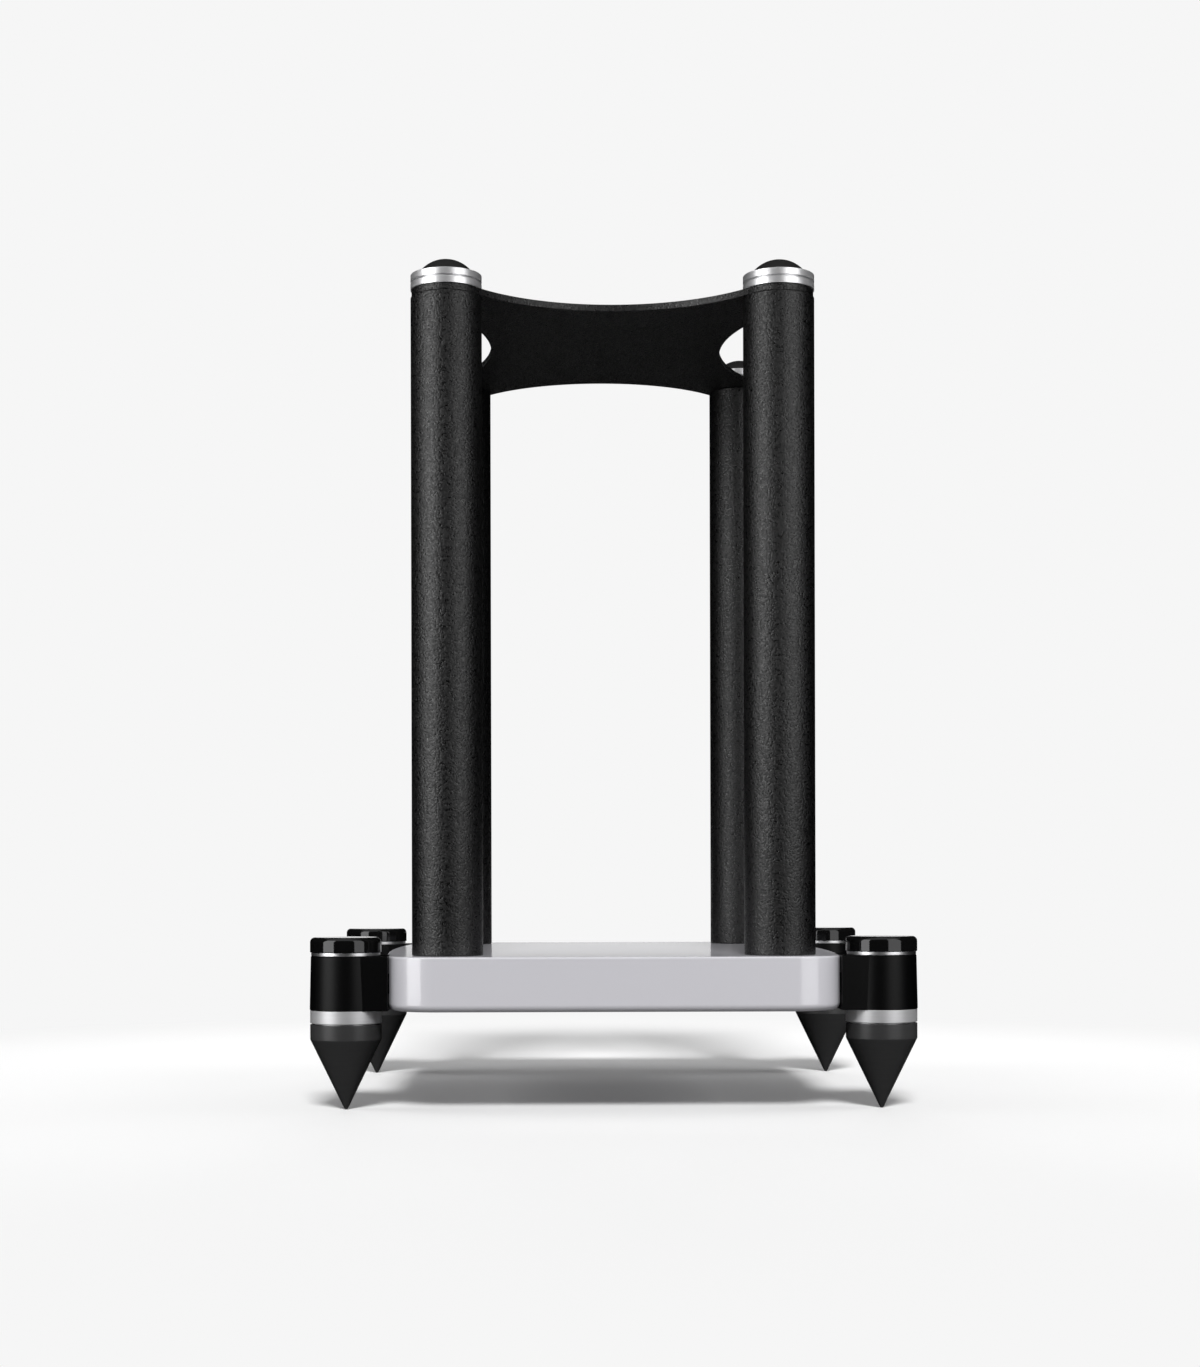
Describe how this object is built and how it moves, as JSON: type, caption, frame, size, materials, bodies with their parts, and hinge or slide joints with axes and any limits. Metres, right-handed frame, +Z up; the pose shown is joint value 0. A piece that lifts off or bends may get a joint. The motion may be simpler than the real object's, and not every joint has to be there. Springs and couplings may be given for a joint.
{
  "type": "speaker stand",
  "caption": "Loudspeaker stand: round columns between a thick base slab and a waisted top plate, on outrigger feet with screw-adjusted spikes and lock caps; rubber domes carry the speaker.",
  "frame": {"origin": "floor level, midway between the four columns, below the middle of the base slab", "axes": "+Z up; +X to the right and +Y to the rear, seen from the front of the stand"},
  "size_m": [0.4276, 0.382, 0.5965],
  "materials": {
    "slab_lacquer": "smooth satin silver-grey lacquer on fibreboard",
    "black_powder_coat": "fine-textured black powder coat on steel",
    "polished_aluminium": "fine-turned and polished",
    "raw_aluminium": "as turned",
    "black_rubber": "matte",
    "satin_black": "smooth satin black paint on steel",
    "black_chrome": "mirror black chrome",
    "bright_chrome": "mirror",
    "brushed_steel": "brushed round the axis",
    "dark_steel": "satin blackened, fine turning marks",
    "zinc_steel": "zinc plated",
    "brass": "as turned"
  },
  "bodies": {
    "stand_frame": {"base_slab": "slab_lacquer", "top_plate": "black_powder_coat", "column_bolts": "zinc_steel", "column_washers": "zinc_steel", "top_screws": "zinc_steel", "outrigger_screws": "zinc_steel", "column_tube_front_left": "black_powder_coat", "column_base_plug_front_left": "raw_aluminium", "column_top_plug_front_left": "raw_aluminium", "clamp_disc_front_left": "polished_aluminium", "pad_cup_front_left": "polished_aluminium", "dome_pad_front_left": "black_rubber", "rim_ring_front_left": "bright_chrome", "outrigger_body_front_left": "satin_black", "column_tube_front_right": "black_powder_coat", "column_base_plug_front_right": "raw_aluminium", "column_top_plug_front_right": "raw_aluminium", "clamp_disc_front_right": "polished_aluminium", "pad_cup_front_right": "polished_aluminium", "dome_pad_front_right": "black_rubber", "rim_ring_front_right": "bright_chrome", "outrigger_body_front_right": "satin_black", "column_tube_rear_left": "black_powder_coat", "column_base_plug_rear_left": "raw_aluminium", "column_top_plug_rear_left": "raw_aluminium", "clamp_disc_rear_left": "polished_aluminium", "pad_cup_rear_left": "polished_aluminium", "dome_pad_rear_left": "black_rubber", "rim_ring_rear_left": "bright_chrome", "outrigger_body_rear_left": "satin_black", "column_tube_rear_right": "black_powder_coat", "column_base_plug_rear_right": "raw_aluminium", "column_top_plug_rear_right": "raw_aluminium", "clamp_disc_rear_right": "polished_aluminium", "pad_cup_rear_right": "polished_aluminium", "dome_pad_rear_right": "black_rubber", "rim_ring_rear_right": "bright_chrome", "outrigger_body_rear_right": "satin_black"},
    "front_left_stud": {"spike_stud_front_left": "zinc_steel"},
    "front_left_spike": {"spike_cone_front_left": "dark_steel", "spike_collar_front_left": "brushed_steel"},
    "front_left_insert": {"cap_insert_front_left": "brass"},
    "front_left_cap": {"lock_cap_front_left": "black_chrome"},
    "front_right_stud": {"spike_stud_front_right": "zinc_steel"},
    "front_right_spike": {"spike_cone_front_right": "dark_steel", "spike_collar_front_right": "brushed_steel"},
    "front_right_insert": {"cap_insert_front_right": "brass"},
    "front_right_cap": {"lock_cap_front_right": "black_chrome"},
    "rear_left_stud": {"spike_stud_rear_left": "zinc_steel"},
    "rear_left_spike": {"spike_cone_rear_left": "dark_steel", "spike_collar_rear_left": "brushed_steel"},
    "rear_left_insert": {"cap_insert_rear_left": "brass"},
    "rear_left_cap": {"lock_cap_rear_left": "black_chrome"},
    "rear_right_stud": {"spike_stud_rear_right": "zinc_steel"},
    "rear_right_spike": {"spike_cone_rear_right": "dark_steel", "spike_collar_rear_right": "brushed_steel"},
    "rear_right_insert": {"cap_insert_rear_right": "brass"},
    "rear_right_cap": {"lock_cap_rear_right": "black_chrome"}
  },
  "joints": [
    {"name": "front_left_spike_travel", "type": "slide", "parent": "stand_frame", "child": "front_left_stud", "axis": [0, 0, -1], "range_m": [0, 0.01225]},
    {"name": "front_left_spike_turn", "type": "hinge", "parent": "front_left_stud", "child": "front_left_spike", "pos_m": [-0.1885, -0.15, 0], "axis": [0, 0, -1], "range_deg": [0, 2520]},
    {"name": "front_left_cap_lift", "type": "slide", "parent": "stand_frame", "child": "front_left_insert", "axis": [0, 0, 1], "range_m": [0, 0.006]},
    {"name": "front_left_cap_turn", "type": "hinge", "parent": "front_left_insert", "child": "front_left_cap", "pos_m": [-0.1885, -0.15, 0], "axis": [0, 0, 1], "range_deg": [0, 1440]},
    {"name": "front_right_spike_travel", "type": "slide", "parent": "stand_frame", "child": "front_right_stud", "axis": [0, 0, -1], "range_m": [0, 0.01225]},
    {"name": "front_right_spike_turn", "type": "hinge", "parent": "front_right_stud", "child": "front_right_spike", "pos_m": [0.1885, -0.15, 0], "axis": [0, 0, -1], "range_deg": [0, 2520]},
    {"name": "front_right_cap_lift", "type": "slide", "parent": "stand_frame", "child": "front_right_insert", "axis": [0, 0, 1], "range_m": [0, 0.006]},
    {"name": "front_right_cap_turn", "type": "hinge", "parent": "front_right_insert", "child": "front_right_cap", "pos_m": [0.1885, -0.15, 0], "axis": [0, 0, 1], "range_deg": [0, 1440]},
    {"name": "rear_left_spike_travel", "type": "slide", "parent": "stand_frame", "child": "rear_left_stud", "axis": [0, 0, -1], "range_m": [0, 0.01225]},
    {"name": "rear_left_spike_turn", "type": "hinge", "parent": "rear_left_stud", "child": "rear_left_spike", "pos_m": [-0.1885, 0.15, 0], "axis": [0, 0, -1], "range_deg": [0, 2520]},
    {"name": "rear_left_cap_lift", "type": "slide", "parent": "stand_frame", "child": "rear_left_insert", "axis": [0, 0, 1], "range_m": [0, 0.006]},
    {"name": "rear_left_cap_turn", "type": "hinge", "parent": "rear_left_insert", "child": "rear_left_cap", "pos_m": [-0.1885, 0.15, 0], "axis": [0, 0, 1], "range_deg": [0, 1440]},
    {"name": "rear_right_spike_travel", "type": "slide", "parent": "stand_frame", "child": "rear_right_stud", "axis": [0, 0, -1], "range_m": [0, 0.01225]},
    {"name": "rear_right_spike_turn", "type": "hinge", "parent": "rear_right_stud", "child": "rear_right_spike", "pos_m": [0.1885, 0.15, 0], "axis": [0, 0, -1], "range_deg": [0, 2520]},
    {"name": "rear_right_cap_lift", "type": "slide", "parent": "stand_frame", "child": "rear_right_insert", "axis": [0, 0, 1], "range_m": [0, 0.006]},
    {"name": "rear_right_cap_turn", "type": "hinge", "parent": "rear_right_insert", "child": "rear_right_cap", "pos_m": [0.1885, 0.15, 0], "axis": [0, 0, 1], "range_deg": [0, 1440]}
  ],
  "couplings": [
    {"joint": "front_left_spike_turn", "follows": "front_left_spike_travel", "rad_per_m": 3590.4},
    {"joint": "front_left_cap_turn", "follows": "front_left_cap_lift", "rad_per_m": 4188.8},
    {"joint": "front_right_spike_turn", "follows": "front_right_spike_travel", "rad_per_m": 3590.4},
    {"joint": "front_right_cap_turn", "follows": "front_right_cap_lift", "rad_per_m": 4188.8},
    {"joint": "rear_left_spike_turn", "follows": "rear_left_spike_travel", "rad_per_m": 3590.4},
    {"joint": "rear_left_cap_turn", "follows": "rear_left_cap_lift", "rad_per_m": 4188.8},
    {"joint": "rear_right_spike_turn", "follows": "rear_right_spike_travel", "rad_per_m": 3590.4},
    {"joint": "rear_right_cap_turn", "follows": "rear_right_cap_lift", "rad_per_m": 4188.8}
  ]
}
